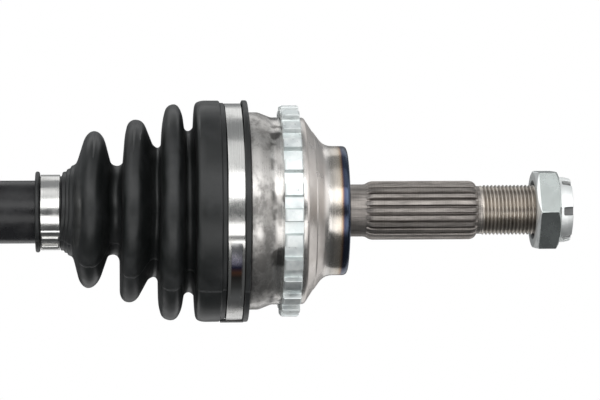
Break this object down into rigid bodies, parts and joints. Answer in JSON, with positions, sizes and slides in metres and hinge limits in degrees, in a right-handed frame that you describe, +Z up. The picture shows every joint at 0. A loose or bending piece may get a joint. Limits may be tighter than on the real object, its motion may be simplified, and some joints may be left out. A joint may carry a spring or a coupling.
{
  "type": "cv axle",
  "caption": "Drive axle with a ball joint in a toothed bell and splined, threaded stub at the wheel end, a plunging tripod joint at the gearbox end, and ribbed rubber boots.",
  "frame": {"origin": "on the shaft's axis, midway between the two joint centres", "axes": "+X along the axle towards the wheel, +Z up, +Y to the back"},
  "size_m": [0.5008, 0.0874, 0.088],
  "materials": {
    "machined_steel": "turned and lightly oiled forged steel, heat tinted next to the hub face",
    "bearing_steel": "ground and polished hardened steel",
    "zinc_plate": "bluish white zinc plating",
    "black_paint": "satin black paint",
    "rubber": "satin black moulded rubber",
    "clamp_steel": "rolled stainless strip"
  },
  "bodies": {
    "shaft": {"axle_shaft": "black_paint", "inner_race": "bearing_steel", "race_circlip": "bearing_steel", "tripod_spider": "bearing_steel", "spider_circlip": "bearing_steel", "outboard_clamp_small": "clamp_steel", "inboard_clamp_small": "clamp_steel"},
    "bell": {"outboard_housing": "machined_steel", "abs_ring": "zinc_plate", "outboard_clamp_large": "clamp_steel", "outboard_boot": "rubber"},
    "ball_cage": {"outboard_cage": "bearing_steel", "ball_1": "bearing_steel", "ball_2": "bearing_steel", "ball_3": "bearing_steel", "ball_4": "bearing_steel", "ball_5": "bearing_steel", "ball_6": "bearing_steel"},
    "nut": {"hub_nut": "zinc_plate"},
    "roller_carrier": {"roller_1": "bearing_steel", "needle_ring_1": "bearing_steel"},
    "roller_carriage_2": {"roller_2": "bearing_steel", "needle_ring_2": "bearing_steel"},
    "roller_carriage_3": {"roller_3": "bearing_steel", "needle_ring_3": "bearing_steel"},
    "tulip": {"tripod_housing": "machined_steel", "stub_circlip": "bearing_steel", "inboard_boot": "rubber", "inboard_clamp_large": "clamp_steel"}
  },
  "joints": [
    {"name": "outboard_articulation", "type": "hinge", "parent": "shaft", "child": "bell", "pos_m": [0.14, 0, 0], "axis": [0, 1, 0], "range_deg": [-45, 45], "deforming": ["outboard_boot"]},
    {"name": "cage_tilt", "type": "hinge", "parent": "shaft", "child": "ball_cage", "pos_m": [0.14, 0, 0], "axis": [0, 1, 0], "range_deg": [-22.6, 22.6]},
    {"name": "nut_travel", "type": "slide", "parent": "bell", "child": "nut", "axis": [1, 0, 0], "range_m": [-0.017, 0.03]},
    {"name": "inboard_articulation", "type": "hinge", "parent": "shaft", "child": "roller_carrier", "pos_m": [-0.14, 0, 0], "axis": [0, 1, 0], "range_deg": [-20, 20]},
    {"name": "plunge", "type": "slide", "parent": "roller_carrier", "child": "tulip", "axis": [1, 0, 0], "range_m": [-0.012, 0.012], "deforming": ["inboard_boot"]},
    {"name": "roller_2_travel", "type": "slide", "parent": "roller_carrier", "child": "roller_carriage_2", "axis": [1, 0, 0], "range_m": [-0.0068, 0.0068]},
    {"name": "roller_3_travel", "type": "slide", "parent": "roller_carrier", "child": "roller_carriage_3", "axis": [1, 0, 0], "range_m": [-0.0068, 0.0068]}
  ],
  "couplings": [
    {"joint": "cage_tilt", "follows": "outboard_articulation", "ratio": 0.5},
    {"joint": "roller_2_travel", "follows": "inboard_articulation", "m_per_rad": -0.01905},
    {"joint": "roller_3_travel", "follows": "inboard_articulation", "m_per_rad": 0.01905}
  ]
}
